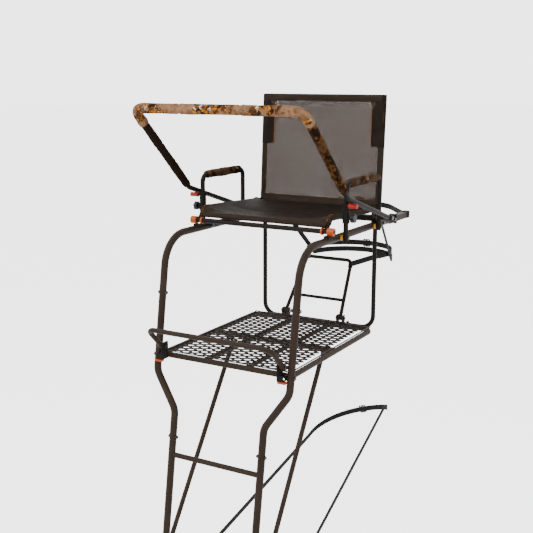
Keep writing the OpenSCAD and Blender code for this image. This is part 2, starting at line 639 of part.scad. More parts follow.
ladder_bottom();
ladder_middle();
ladder_upper();
ladder_feet();
ladder_bolts();
upright_left();
upright_right();
side_rail_left();
side_rail_right();
frame_bolts();
platform_frame();
platform_mesh();
rear_frame();
brace_left();
brace_right();
brace_bolts();
footrest();
footrest_brackets();
footrest_caps();
hinge_pins();
seat_frame();
seat_fabric();
seat_sleeves();
seat_rests();
seat_hinge_brackets();
backrest_frame();
backrest_fabric();
pocket_left();
pocket_right();
armrest_left();
armrest_right();
armrest_pad_left();
armrest_pad_right();
armrest_spacers();
armrest_bolts();
stop_left();
stop_right();
stop_sleeve_left();
stop_sleeve_right();
knob_left();
knob_right();
shooting_rail();
rail_pad_front();
rail_pad_left();
rail_pad_right();
rail_pivot_brackets();
rail_pivot_bolts();
tree_rest();
tree_arm_left();
tree_arm_right();
tree_bracket();
strap_arms();
strap_cinch();
strap_bracket();
strap_stabiliser();
ratchet_frame();
ratchet_spool();
ratchet_handle();
bracket_strap_buckle();
stabiliser_buckle();
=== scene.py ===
# Ladder tree stand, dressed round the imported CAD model. Lengths are in millimetres until at() or
# mm() turns them into metres; x is the climber's right, y points at the tree, z is up, and the
# platform's front bar is the datum, as in the part's own source.
import bpy
import bmesh
import json
import math
from mathutils import Matrix, Vector, noise


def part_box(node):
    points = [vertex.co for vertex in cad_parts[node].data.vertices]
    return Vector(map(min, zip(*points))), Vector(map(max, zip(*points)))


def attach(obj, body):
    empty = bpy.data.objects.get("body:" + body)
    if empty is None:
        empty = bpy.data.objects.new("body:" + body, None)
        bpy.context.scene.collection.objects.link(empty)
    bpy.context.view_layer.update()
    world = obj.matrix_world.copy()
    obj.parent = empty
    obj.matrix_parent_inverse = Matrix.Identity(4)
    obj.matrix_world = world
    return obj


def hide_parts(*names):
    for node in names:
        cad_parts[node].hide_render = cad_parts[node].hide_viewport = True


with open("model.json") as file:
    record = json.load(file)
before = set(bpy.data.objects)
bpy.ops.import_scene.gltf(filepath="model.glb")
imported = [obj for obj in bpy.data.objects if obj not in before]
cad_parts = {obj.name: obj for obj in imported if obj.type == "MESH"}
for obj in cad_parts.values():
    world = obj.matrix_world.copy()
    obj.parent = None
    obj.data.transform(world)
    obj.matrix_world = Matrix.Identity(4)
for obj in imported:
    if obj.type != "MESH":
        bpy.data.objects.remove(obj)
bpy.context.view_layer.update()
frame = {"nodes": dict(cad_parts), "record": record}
NODES = frame["nodes"]
RECORD = frame["record"]
SCENE = bpy.context.scene

LEAN = math.radians(8.75)
DECK_EDGE = 5.0
DECK_Z = 11.3
deck_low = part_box("platform_mesh")[0]
DATUM = Vector((0.0, deck_low.y - DECK_EDGE / 1000, deck_low.z - DECK_Z / 1000))


def mm(v):
    return v / 1000.0


def at(x, y, z):
    """A point given in millimetres from the platform's front bar."""
    return DATUM + Vector((x, y, z)) / 1000.0


def lerp(a, b, t):
    return a + (b - a) * t


def smooth(t):
    t = min(max(t, 0.0), 1.0)
    return t * t * (3 - 2 * t)


# ---------------------------------------------------------------- camera
CAMERA_AT = at(1766.6, -2748.2, 1052.1)
CAMERA_TURN = math.radians(30.0)
CAMERA_DOWN = math.radians(11.78)
camera = bpy.data.objects.new("camera", bpy.data.cameras.new("camera"))
camera.data.lens = 62.0
camera.data.sensor_width = 36.0
camera.data.clip_end = 500.0
camera.location = CAMERA_AT
camera.rotation_euler = (math.pi / 2 - CAMERA_DOWN, 0.0, CAMERA_TURN)
SCENE.collection.objects.link(camera)
SCENE.camera = camera


# ---------------------------------------------------------------- mesh helpers
def make_object(name, verts, faces, uvs=None, material=None, flat=False):
    """A mesh object from points in metres, with one uv per vertex."""
    mesh = bpy.data.meshes.new(name)
    mesh.from_pydata([tuple(v) for v in verts], [], faces)
    mesh.validate()
    if uvs:
        layer = mesh.uv_layers.new(name="uv")
        for loop in mesh.loops:
            layer.data[loop.index].uv = uvs[loop.vertex_index]
    mesh.polygons.foreach_set("use_smooth", [not flat] * len(mesh.polygons))
    obj = bpy.data.objects.new(name, mesh)
    SCENE.collection.objects.link(obj)
    if material:
        mesh.materials.append(material)
    return obj


def bend_path(points, radius, step):
    """Points in metres along the millimetre corners given, with every corner rounded."""
    out = [Vector(points[0])]
    for i in range(1, len(points) - 1):
        b = Vector(points[i])
        u = (Vector(points[i - 1]) - b).normalized()
        v = (Vector(points[i + 1]) - b).normalized()
        inside = u.angle(v)
        if inside > math.pi - 0.01:
            out.append(b)
            continue
        cut = radius / math.tan(inside / 2)
        centre = b + (u + v).normalized() * (radius / math.sin(inside / 2))
        first = b + u * cut - centre
        last = b + v * cut - centre
        turn = first.angle(last)
        steps = max(3, int(radius * turn / step))
        for k in range(steps + 1):
            w = k / steps
            spoke = first * math.sin((1 - w) * turn) + last * math.sin(w * turn)
            out.append(centre + spoke / math.sin(turn))
    out.append(Vector(points[-1]))
    line = [out[0]]
    for p in out[1:]:
        gap = (p - line[-1]).length
        if gap < step * 0.2:
            continue
        parts = max(1, int(round(gap / step)))
        start = line[-1]
        for k in range(1, parts + 1):
            line.append(start.lerp(p, k / parts))
    return [at(*p) for p in line]


def frames_along(path, up=Vector((0, 0, 1))):
    """A tangent, side and top direction at each point, without twisting."""
    result = []
    side = None
    for i in range(len(path)):
        way = (path[min(i + 1, len(path) - 1)] - path[max(i - 1, 0)]).normalized()
        if side is None:
            side = way.cross(up) if abs(way.dot(up)) < 0.95 else way.cross(Vector((0, 1, 0)))
        side = (side - way * side.dot(way)).normalized()
        result.append((way, side, side.cross(way).normalized()))
    return result


def sleeve(name, path, radius, material, sides, inner):
    """A cloth or foam tube along path. radius(s, length, direction) gives each point's radius in
    metres; inner is the bore's radius, which the open ends turn in to."""
    rings, uvs = [], []
    travel = [0.0]
    for a, b in zip(path, path[1:]):
        travel.append(travel[-1] + (b - a).length)
    total = travel[-1]
    axes = frames_along(path)
    stations = [(0, True)] + [(i, False) for i in range(len(path))] + [(len(path) - 1, True)]
    for i, turned_in in stations:
        _, side, top = axes[i]
        for k in range(sides + 1):
            a = -math.pi / 2 + 2 * math.pi * k / sides
            d = side * math.cos(a) + top * math.sin(a)
            r = inner if turned_in else radius(travel[i], total, d)
            rings.append(path[i] + d * r)
            uvs.append((travel[i], a * 0.018))
    faces = []
    row = sides + 1
    for i in range(len(stations) - 1):
        for k in range(sides):
            faces.append((i * row + k, i * row + k + 1, (i + 1) * row + k + 1, (i + 1) * row + k))
    obj = make_object(name, rings, faces, uvs, material)
    weld(obj)
    return obj


def weld(obj):
    """Joins the seam's doubled points and turns every face outwards."""
    work = bmesh.new()
    work.from_mesh(obj.data)
    bmesh.ops.remove_doubles(work, verts=work.verts, dist=0.00002)
    bmesh.ops.recalc_face_normals(work, faces=work.faces)
    work.to_mesh(obj.data)
    work.free()


def ribbon(name, path, ups, width, thick, material):
    """Flat webbing along path, with rounded edges. ups gives the direction across its width."""
    half, t = width / 2, thick / 2
    outline = [(-half, -t * 0.4), (-half + t * 0.8, -t), (half - t * 0.8, -t), (half, -t * 0.4),
               (half, t * 0.4), (half - t * 0.8, t), (-half + t * 0.8, t), (-half, t * 0.4)]
    verts, uvs, faces = [], [], []
    travel = 0.0
    n = len(outline)
    for i, p in enumerate(path):
        if i:
            travel += (p - path[i - 1]).length
        way = (path[min(i + 1, len(path) - 1)] - path[max(i - 1, 0)]).normalized()
        up = (ups[i] - way * ups[i].dot(way)).normalized()
        out = way.cross(up)
        for u, v in outline:
            verts.append(p + up * u + out * v)
            uvs.append((travel, u))
    for i in range(len(path) - 1):
        for k in range(n):
            a, b = i * n + k, i * n + (k + 1) % n
            faces.append((a, b, b + n, a + n))
    faces.append(tuple(range(n - 1, -1, -1)))
    faces.append(tuple(range(len(verts) - n, len(verts))))
    obj = make_object(name, verts, faces, uvs, material)
    sharpen(obj, 50)
    return obj


def sharpen(obj, degrees):
    """Marks edges sharper than this angle, so that smooth shading keeps them crisp."""
    work = bmesh.new()
    work.from_mesh(obj.data)
    limit = math.radians(degrees)
    for e in work.edges:
        e.smooth = not (len(e.link_faces) == 2 and e.calc_face_angle(0) > limit)
    for f in work.faces:
        f.smooth = True
    work.to_mesh(obj.data)
    work.free()


# ---------------------------------------------------------------- materials
class Shader:
    """A small builder for node materials."""

    def __init__(self, name):
        self.mat = bpy.data.materials.new(name)
        self.mat.use_nodes = True
        self.tree = self.mat.node_tree
        self.bsdf = self.tree.nodes["Principled BSDF"]
        self.coords = self.tree.nodes.new("ShaderNodeTexCoord")

    def node(self, kind, **settings):
        n = self.tree.nodes.new("ShaderNode" + kind)
        for key, value in settings.items():
            setattr(n, key, value)
        return n

    def link(self, out, to):
        self.tree.links.new(out, to)

    def place(self, scale=(1, 1, 1), source="Object", rotation=(0, 0, 0)):
        m = self.node("Mapping")
        m.inputs["Scale"].default_value = scale
        m.inputs["Rotation"].default_value = rotation
        self.link(self.coords.outputs[source], m.inputs["Vector"])
        return m.outputs["Vector"]

    def noise(self, vector, scale, detail=3.0, rough=0.5, distortion=0.0):
        n = self.node("TexNoise")
        n.inputs["Scale"].default_value = scale
        n.inputs["Detail"].default_value = detail
        n.inputs["Roughness"].default_value = rough
        n.inputs["Distortion"].default_value = distortion
        self.link(vector, n.inputs["Vector"])
        return n.outputs["Fac"]

    def voronoi(self, vector, scale, feature="F1", output="Distance", randomness=1.0):
        n = self.node("TexVoronoi", feature=feature)
        n.inputs["Scale"].default_value = scale
        n.inputs["Randomness"].default_value = randomness
        self.link(vector, n.inputs["Vector"])
        return n.outputs[output]

    def ramp(self, value, stops, constant=False):
        n = self.node("ValToRGB")
        n.color_ramp.interpolation = "CONSTANT" if constant else "LINEAR"
        while len(n.color_ramp.elements) < len(stops):
            n.color_ramp.elements.new(0.5)
        for element, (position, colour) in zip(n.color_ramp.elements, stops):
            element.position = position
            element.color = (*colour, 1) if len(colour) == 3 else colour
        self.link(value, n.inputs["Fac"])
        return n.outputs["Color"]

    def step(self, value, low, high, to_low=0.0, to_high=1.0):
        n = self.node("MapRange")
        for key, v in (("From Min", low), ("From Max", high), ("To Min", to_low), ("To Max", to_high)):
            n.inputs[key].default_value = v
        self.link(value, n.inputs["Value"])
        return n.outputs["Result"]

    def mix(self, fac, a, b, blend="MIX"):
        n = self.node("Mix", data_type="RGBA", blend_type=blend)
        for socket, value in ((n.inputs[0], fac), (n.inputs[6], a), (n.inputs[7], b)):
            if isinstance(value, bpy.types.NodeSocket):
                self.link(value, socket)
            elif isinstance(value, float):
                socket.default_value = value
            else:
                socket.default_value = (*value, 1)
        return n.outputs[2]

    def math(self, operation, a, b=0.5):
        n = self.node("Math", operation=operation)
        for socket, value in zip(n.inputs, (a, b)):
            if isinstance(value, bpy.types.NodeSocket):
                self.link(value, socket)
            else:
                socket.default_value = value
        return n.outputs["Value"]

    def wave(self, uv, axis, pitch):
        """0 to 1 to 0 once every pitch metres along the uv axis."""
        part = self.node("SeparateXYZ")
        self.link(uv, part.inputs["Vector"])
        turned = self.math("MULTIPLY", part.outputs[axis], 2 * math.pi / pitch)
        return self.math("MULTIPLY_ADD", self.math("SINE", turned), 0.5)

    def bump(self, height, distance, strength=0.6):
        n = self.node("Bump")
        n.inputs["Strength"].default_value = strength
        n.inputs["Distance"].default_value = distance
        self.link(height, n.inputs["Height"])
        self.link(n.outputs["Normal"], self.bsdf.inputs["Normal"])

    def set(self, **values):
        for key, value in values.items():
            socket = self.bsdf.inputs[key.replace("_", " ")]
            if isinstance(value, bpy.types.NodeSocket):
                self.link(value, socket)
            elif isinstance(value, tuple):
                socket.default_value = (*value, 1) if len(value) == 3 else value
            else:
                socket.default_value = value


def powder_coat(name, colour, rough=0.5, texture=0.35):
    """Textured powder coat with faint dust and rubbed patches."""
    s = Shader(name)
    cloud = s.noise(s.place(), 9.0, 4.0, 0.6)
    speck = s.noise(s.place(), 900.0, 2.0, 0.5)
    worn = tuple(min(1.0, c * 1.75 + 0.001) for c in colour)
    dark = tuple(c * 0.72 for c in colour)
    tone = s.ramp(cloud, [(0.25, dark), (0.55, colour), (0.8, worn)])
    s.set(Base_Color=s.mix(s.step(speck, 0.5, 0.75, 0.0, 0.35), tone, worn), Specular_IOR_Level=0.05)
    s.set(Roughness=s.step(cloud, 0.2, 0.8, rough - 0.08, rough + 0.1))
    s.bump(speck, 0.0004, texture)
    return s.mat


def zinc(name):
    s = Shader(name)
    cloud = s.noise(s.place(), 60.0, 4.0, 0.6)
    s.set(Base_Color=s.ramp(cloud, [(0.3, (0.02, 0.018, 0.016)), (0.7, (0.06, 0.055, 0.05))]), Metallic=1.0)
    s.set(Roughness=s.step(cloud, 0.2, 0.8, 0.28, 0.5))
    s.bump(s.noise(s.place(), 700.0), 0.0001, 0.3)
    return s.mat


def plastic(name, colour, rough=0.4):
    s = Shader(name)
    cloud = s.noise(s.place(), 40.0, 3.0)
    s.set(Base_Color=s.mix(s.step(cloud, 0.35, 0.75, 0.0, 0.5), colour, tuple(c * 0.6 for c in colour)))
    s.set(Roughness=rough, Specular_IOR_Level=0.10)
    s.bump(s.noise(s.place(), 1500.0), 0.00005, 0.3)
    return s.mat


def sling_cloth(name, colour, lighter):
    """Tight plain weave on a smooth, slightly shiny sling."""
    s = Shader(name)
    uv = s.place(source="UV")
    weave = s.math("MULTIPLY", s.wave(uv, "X", 0.0022), s.wave(uv, "Y", 0.0022))
    streak = s.noise(s.place((1, 6, 1), source="UV"), 12.0, 5.0, 0.65)
    s.set(Base_Color=s.mix(s.step(streak, 0.35, 0.72), colour, lighter), Roughness=0.62)
    s.set(Specular_IOR_Level=0.02)
    s.bump(weave, 0.0003, 0.5)
    return s.mat


def open_mesh(name, colour):
    """A see-through weave: threads every 2.6 mm, with holes between them."""
    s = Shader(name)
    uv = s.place(source="UV")
    pitch = 0.0026
    across = s.wave(uv, "X", pitch)
    along = s.wave(uv, "Y", pitch)
    thread = s.math("MAXIMUM", across, along)
    hole = s.math("LESS_THAN", thread, 0.06)
    band = s.noise(s.place((40, 1, 1), source="UV"), 3.0, 3.0, 0.6)
    s.set(Base_Color=s.mix(s.step(band, 0.3, 0.7), colour, tuple(c * 1.5 for c in colour)), Roughness=0.7)
    s.set(Specular_IOR_Level=0.02)
    s.set(Alpha=s.math("SUBTRACT", 1.0, hole))
    s.bump(thread, 0.0004, 0.4)
    return s.mat


def ribbed_cloth(name, colour, pitch=0.007):
    s = Shader(name)
    uv = s.place(source="UV")
    rib = s.wave(uv, "X", pitch)
    cloud = s.noise(s.place(), 30.0, 4.0)
    s.set(Base_Color=s.mix(s.step(cloud, 0.3, 0.8), colour, tuple(c * 1.7 for c in colour)), Roughness=0.8)
    s.set(Specular_IOR_Level=0.02)
    s.bump(s.math("ADD", rib, s.math("MULTIPLY", s.wave(uv, "Y", 0.002), 0.25)), 0.0012, 0.8)
    return s.mat


def webbing_cloth(name, colour):
    """Ribbed strap: herringbone rows along its length."""
    s = Shader(name)
    uv = s.place(source="UV")
    rows = s.wave(uv, "Y", 0.0035)
    picks = s.wave(uv, "X", 0.0024)
    s.set(Base_Color=s.mix(s.math("MULTIPLY", rows, picks), colour, tuple(c * 2.4 + 0.002 for c in colour)))
    s.set(Roughness=0.75, Specular_IOR_Level=0.05)
    s.bump(s.math("MULTIPLY", rows, picks), 0.0006, 0.8)
    return s.mat


def camouflage(name, plain, shade, leaf, pale, dark, leafy, seed):
    """Printed woodland cloth: bark-like ground with clusters of leaves and dark gaps. leafy is
    how much of it the leaves cover."""
    s = Shader(name)
    here = s.node("Mapping")
    here.inputs["Location"].default_value = (seed * 3.1, seed * 1.7, seed * 0.9)
    s.link(s.coords.outputs["Object"], here.inputs["Vector"])
    here = here.outputs["Vector"]
    warp = s.node("TexNoise")
    warp.inputs["Scale"].default_value = 38.0
    warp.inputs["Detail"].default_value = 2.0
    s.link(here, warp.inputs["Vector"])
    shift = s.node("VectorMath", operation="MULTIPLY_ADD")
    s.link(warp.outputs["Color"], shift.inputs[0])
    shift.inputs[1].default_value = (0.034, 0.034, 0.034)
    s.link(here, shift.inputs[2])
    bent = shift.outputs["Vector"]
    bark = s.noise(here, 22.0, 7.0, 0.66, 1.2)
    ground = s.ramp(bark, [(0.28, dark), (0.38, shade), (0.50, plain),
                           (0.74, tuple(min(1, c * 1.5) for c in plain))])
    cell = s.node("SeparateColor")
    s.link(s.voronoi(bent, 62.0, output="Color"), cell.inputs["Color"])
    leaves = s.ramp(cell.outputs["Red"], [(0.0, dark), (0.24, leaf), (0.44, shade), (0.60, pale),
                                          (0.70, plain), (0.84, leaf)], True)
    grain = s.noise(bent, 130.0, 4.0, 0.7)
    leaves = s.mix(s.step(grain, 0.4, 0.62), leaves, tuple(c * 0.5 for c in shade))
    edge = s.step(s.voronoi(bent, 62.0, "DISTANCE_TO_EDGE"), 0.02, 0.10)
    leaves = s.mix(edge, dark, leaves)
    cluster = s.noise(here, 6.0, 3.0, 0.6, 0.6)
    patch = s.step(cluster, 0.64 - leafy * 0.22, 0.68 - leafy * 0.22)
    gap = s.noise(here, 16.0, 5.0, 0.7, 2.0)
    tone = s.mix(s.step(gap, 0.60, 0.66), s.mix(patch, ground, leaves), tuple(c * 0.5 for c in dark))
    s.set(Base_Color=tone, Roughness=0.85, Specular_IOR_Level=0.02)
    fold = s.noise(s.place(source="UV", scale=(1, 0.4, 1)), 90.0, 4.0, 0.6, 0.5)
    s.bump(s.math("ADD", fold, s.math("MULTIPLY", s.noise(here, 1400.0), 0.12)), 0.0016, 0.7)
    return s.mat


BARK_BROWN = (0.0100, 0.0060, 0.0037)
MATS = {
    "frame_paint": powder_coat("frame_paint", BARK_BROWN, 0.55),
    "dark_tube": powder_coat("dark_tube", (0.0034, 0.0021, 0.0014), 0.55),
    "black_steel": powder_coat("black_steel", (0.0024, 0.0019, 0.0017), 0.58),
    "deck_mesh": powder_coat("deck_mesh", (0.0066, 0.0042, 0.0029), 0.5),
    "zinc": zinc("zinc"),
    "ratchet_steel": powder_coat("ratchet_steel", (0.024, 0.024, 0.023), 0.35, 0.15),
    "handle_paint": powder_coat("handle_paint", (0.011, 0.016, 0.0084), 0.45),
    "sling": sling_cloth("sling", (0.0038, 0.0024, 0.0016), (0.0078, 0.0050, 0.0036)),
    "hem": sling_cloth("hem", (0.0075, 0.0048, 0.0033), (0.013, 0.0087, 0.0063)),
    "mesh_fabric": open_mesh("mesh_fabric", (0.014, 0.0096, 0.0072)),
    "pocket": ribbed_cloth("pocket", (0.0048, 0.0035, 0.0027)),
    "piping": plastic("piping", (0.06, 0.02, 0.0042), 0.7),
    "webbing": webbing_cloth("webbing", (0.0027, 0.0023, 0.0022)),
    "orange_cap": plastic("orange_cap", (0.16, 0.024, 0.001), 0.38),
    "amber_cap": plastic("amber_cap", (0.31, 0.10, 0.004), 0.35),
    "red_rubber": plastic("red_rubber", (0.14, 0.004, 0.002), 0.5),
    "knob_plastic": plastic("knob_plastic", (0.0014, 0.0012, 0.0011), 0.45),
    "tan_camo": camouflage("tan_camo", (0.088, 0.047, 0.025), (0.036, 0.016, 0.0070), (0.2, 0.069, 0.0084),
                           (0.37, 0.28, 0.18), (0.0048, 0.0024, 0.0015), 0.55, 1),
    "brown_camo": camouflage("brown_camo", (0.026, 0.0115, 0.0042), (0.009, 0.0038, 0.0016),
                             (0.070, 0.026, 0.0040), (0.11, 0.055, 0.018), (0.0020, 0.0011, 0.0007), 0.75, 2),
    "dark_camo": camouflage("dark_camo", (0.0046, 0.0024, 0.0013), (0.003, 0.0017, 0.0011),
                            (0.013, 0.006, 0.0024), (0.03, 0.022, 0.011), (0.0013, 0.0009, 0.00072), 0.30, 3),
    "arm_camo": camouflage("arm_camo", (0.024, 0.0125, 0.0062), (0.007, 0.0034, 0.0016),
                           (0.055, 0.021, 0.0040), (0.10, 0.058, 0.028), (0.0016, 0.0009, 0.0006), 0.75, 4),
}
MATS["camo_pad"] = MATS["brown_camo"]


# ---------------------------------------------------------------- the CAD nodes' finishes
def dress(node):
    """Gives a CAD node the finish of its material slot."""
    obj = NODES[node]
    obj.data.materials.clear()
    obj.data.materials.append(MATS[SLOT_OF[node]])


SLOT_OF = {entry["node"]: entry["material_slot"] for entry in RECORD["subparts"]}
for node_name in NODES:
    dress(node_name)


# ---------------------------------------------------------------- straps (cords)
WEB_W = 25.0
WEB_T = 2.0
TRUNK_R = 196.0
TRUNK_Y = 1080.0
WEB_R = TRUNK_R + 1.2
UP_X = 290.0
LADDER_X = 196.0
RAIL_Z = 451.0
REST_Y = 862.0
STILE_R = 14.0
TIE_RIGHT, TIE_LEFT = -1097, -945       # where the stabiliser strap ties on, along the ladder


def on_ladder(x, s):
    return (x, -17 + s * math.sin(LEAN), s * math.cos(LEAN))


def meets(p, r):
    """The angle round the trunk, from its platform side, at which a strap from p touches it."""
    return math.atan2(abs(p[0]), TRUNK_Y - p[1]) + math.acos(r / math.hypot(p[0], TRUNK_Y - p[1]))


def strap_route(p, q, zp, zq, r=WEB_R, steps=44):
    """From p on the right, round the back of the trunk, to q on the left."""
    start, end = meets(p, r), 2 * math.pi - meets(q, r)
    points = [Vector(p)]
    for i in range(steps + 1):
        a = lerp(start, end, i / steps)
        points.append(Vector((r * math.sin(a), TRUNK_Y - r * math.cos(a), lerp(zp, zq, i / steps))))
    points.append(Vector(q))
    return points


def split_ends(points, parts=8):
    """Adds points to the two straight ends of a route."""
    head = [points[0].lerp(points[1], k / parts) for k in range(parts)]
    tail = [points[-2].lerp(points[-1], k / parts) for k in range(1, parts + 1)]
    return head + points[1:-1] + tail


def strap(name, points, body):
    path = [at(*p) for p in split_ends(points)]
    piece = ribbon(name, path, [Vector((0, 0, 1))] * len(path), mm(WEB_W), mm(WEB_T), MATS["webbing"])
    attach(piece, body)
    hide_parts(name)
    length = sum((b - a).length for a, b in zip(path, path[1:]))
    return length


def other(p):
    """The same point on the other side."""
    return (-p[0], p[1], p[2])


arms_from = (UP_X - 12, 1040, RAIL_Z)
cinch_from = (235, REST_Y + 20, RAIL_Z - 2)
loop_from = (112, 858, 239)
tie_right = on_ladder(0, TIE_RIGHT)
tie_left = on_ladder(0, TIE_LEFT)
LENGTHS = {
    "strap_arms": strap("strap_arms", strap_route(arms_from, other(arms_from), RAIL_Z, RAIL_Z), "frame"),
    "strap_cinch": strap("strap_cinch", strap_route(cinch_from, other(cinch_from), 225, 225, WEB_R + 2.6),
                         "frame"),
    "strap_bracket": strap("strap_bracket", strap_route(loop_from, other(loop_from), 258, 258),
                           "tree_bracket"),
    "strap_stabiliser": strap("strap_stabiliser", strap_route(
        (LADDER_X, tie_right[1] + STILE_R, tie_right[2]), (-LADDER_X, tie_left[1] + STILE_R, tie_left[2]),
        -480, -700), "frame"),
}


def web_loop(name, centre, axis, outline, body):
    """A short loop of webbing round a tube: outline is its shape across the axis."""
    axis = Vector(axis).normalized()
    u = axis.cross(Vector((1, 0, 0)) if abs(axis.x) < 0.9 else Vector((0, 1, 0))).normalized()
    v = axis.cross(u)
    path = [at(*centre) + (u * a + v * b) / 1000 for a, b in outline]
    piece = ribbon(name, path, [axis] * len(path), mm(WEB_W), mm(WEB_T), MATS["webbing"])
    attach(piece, body)


def circle(r, steps=28):
    turns = [2 * math.pi * k / steps for k in range(steps + 1)]
    return [(r * math.cos(a), r * math.sin(a)) for a in turns]


def rounded_square(half, corner, steps=5):
    out = []
    for quarter in range(4):
        for k in range(steps + 1):
            a = math.pi / 2 * (quarter + k / steps)
            sx = (1, -1, -1, 1)[quarter]
            sy = (1, 1, -1, -1)[quarter]
            out.append((sx * (half - corner) + corner * math.cos(a),
                        sy * (half - corner) + corner * math.sin(a)))
    return out + out[:1]


LADDER_WAY = (0, math.sin(LEAN), math.cos(LEAN))
for side, s in ((1, TIE_RIGHT), (-1, TIE_LEFT)):
    web_loop("stabiliser_loop_%d" % (side > 0), on_ladder(side * LADDER_X, s), LADDER_WAY,
             circle(STILE_R + 1.3), "frame")
for side in (-1, 1):
    web_loop("arm_loop_%d" % (side > 0), (side * UP_X, 1034, RAIL_Z), (0, 1, 0),
             rounded_square(14.4, 4), "frame")
    web_loop("bracket_loop_%d" % (side > 0), (side * 112, 856, 236), (-side * 23, 154, 222),
             circle(9.4), "tree_bracket")


# ---------------------------------------------------------------- expanded metal deck
def expanded_deck():
    """Twisted strands between staggered bonds."""
    spread, lift = 3.0, Vector((0, 0, 1.1))
    wide, deep, low_x = 64.0, 32.0, -278.0
    across, along = 556.0, 698.0
    cols = int(across // wide)
    rows = int(along // deep * 2) - 1
    x0 = low_x + (across - cols * wide) / 2
    verts, faces = [], []

    def bond(i, j):
        x = x0 + (i + (j % 2) / 2) * wide
        x = min(max(x, low_x + 2), -low_x - 2)
        return Vector((x, DECK_EDGE + (j + 0.3) * deep / 2, DECK_Z + 1.6))

    def strand(a, b, twist):
        way = (b - a).normalized()
        flat = way.cross(Vector((0, 0, 1))).normalized()
        turned = Matrix.Rotation(twist, 3, way)
        for end, p in ((-1, a), (1, b)):
            for su, sv in ((-1, -1), (1, -1), (1, 1), (-1, 1)):
                verts.append(p + way * (end * 2.4) + turned @ (flat * spread * su + lift * sv))
        n = len(verts) - 8
        for k in range(4):
            faces.append((n + k, n + (k + 1) % 4, n + 4 + (k + 1) % 4, n + 4 + k))
        faces.append((n + 3, n + 2, n + 1, n))
        faces.append((n + 4, n + 5, n + 6, n + 7))

    for j in range(rows + 1):
        odd = j % 2
        for i in range(cols + 1 - odd):
            here = bond(i, j)
            for di in ((0, 1) if odd else (-1, 0)):
                if 0 <= i + di <= cols - (1 - odd):
                    strand(here, bond(i + di, j + 1), math.radians(28 if di == odd else -28))
    border = [(low_x, DECK_EDGE), (-low_x, DECK_EDGE),
              (-low_x, DECK_EDGE + along), (low_x, DECK_EDGE + along)]
    for k in range(4):
        (ax, ay), (bx, by) = border[k], border[(k + 1) % 4]
        inward = Vector((-(by - ay), bx - ax, 0)).normalized() * 2.5
        strand(Vector((ax, ay, DECK_Z + 1.3)) + inward, Vector((bx, by, DECK_Z + 1.3)) + inward, 0.0)
    piece = make_object("expanded_deck", [at(*v) for v in verts], faces, None, MATS["deck_mesh"], flat=True)
    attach(piece, "frame")
    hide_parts("platform_mesh")


expanded_deck()


# ---------------------------------------------------------------- cloth grids
def cloth(name, nu, nv, shape, material, body, thick=1.4):
    """A sheet from shape(u, v) -> (point in mm, (u length, v length) in mm)."""
    verts, uvs, faces = [], [], []
    for j in range(nv + 1):
        for i in range(nu + 1):
            p, uv = shape(i / nu, j / nv)
            verts.append(at(*p))
            uvs.append((mm(uv[0]), mm(uv[1])))
    row = nu + 1
    for j in range(nv):
        for i in range(nu):
            faces.append((j * row + i, j * row + i + 1, (j + 1) * row + i + 1, (j + 1) * row + i))
    piece = make_object(name, verts, faces, uvs, material)
    if thick:
        solid = piece.modifiers.new("thickness", "SOLIDIFY")
        solid.thickness = mm(thick)
        solid.offset = 0.0
    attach(piece, body)
    return piece


def ripple(x, y, size, seed):
    return noise.noise(Vector((x / size, y / size, seed)))


SEAT_X = 281.0
SEAT_HINGE = (725.0, 512.0)
SEAT_BEND = (300.0, 530.0)
SEAT_FRONT = (270.0, 508.0)
SEAT_REAR = (690.0, 513.5)
TUBE_R = 9.5


def seat_profile(v, lift=0.0):
    """Where the middle of the sling runs, back to front, as (y, z, how free it is to sag)."""
    wrap = 9.3 + lift
    if v < 0.1:
        a = math.radians(lerp(-120, 88, v / 0.1))
        return SEAT_REAR[0] + wrap * math.cos(a), SEAT_REAR[1] + wrap * math.sin(a), 0.0
    if v > 0.86:
        a = math.radians(lerp(92, 262, (v - 0.86) / 0.14))
        return SEAT_FRONT[0] + wrap * math.cos(a), SEAT_FRONT[1] + wrap * math.sin(a), 0.0
    t = (v - 0.1) / 0.76
    y = lerp(SEAT_REAR[0], SEAT_FRONT[0], t)
    return y, lerp(SEAT_REAR[1] + wrap, SEAT_FRONT[1] + wrap, t), math.sin(math.pi * t) ** 0.8


def side_tube_top(y):
    if y >= SEAT_BEND[0]:
        t = (SEAT_HINGE[0] - y) / (SEAT_HINGE[0] - SEAT_BEND[0])
        return lerp(SEAT_HINGE[1], SEAT_BEND[1], t) + TUBE_R + 1.2
    t = (SEAT_BEND[0] - y) / (SEAT_BEND[0] - SEAT_FRONT[0])
    return lerp(SEAT_BEND[1] + TUBE_R + 1.2, SEAT_FRONT[1] + 9.3, t)


def sling_shape(lift=0.0, v_from=0.0, v_to=1.0, half=SEAT_X - 3):
    def shape(u, v):
        v = lerp(v_from, v_to, v)
        x = lerp(-half, half, u)
        y, z, free = seat_profile(v, lift)
        edge = (abs(x) / SEAT_X) ** 6
        if free > 0.0:
            fold = math.exp(-((y - 445) / 34.0) ** 2)
            sag = (7.0 + 9.0 * fold) * free * (1 - (x / SEAT_X) ** 2)
            z = lerp(z - sag, side_tube_top(y) + lift, edge * smooth(free * 3))
            z += (1.6 * ripple(x, y, 90, 1.0) + 0.8 * ripple(x * 1.6, y, 34, 2.0)) * free * (1 - edge)
            pull = 1.6 * math.sin(x / 19.0 + y / 60.0) * math.exp(-((abs(x) - 262) / 26.0) ** 2)
            z += pull * free * 0.6
        else:
            z += 0.5 * ripple(x, 0, 40, 4.0)
        return (x, y, z), (x, v * 560)
    return shape


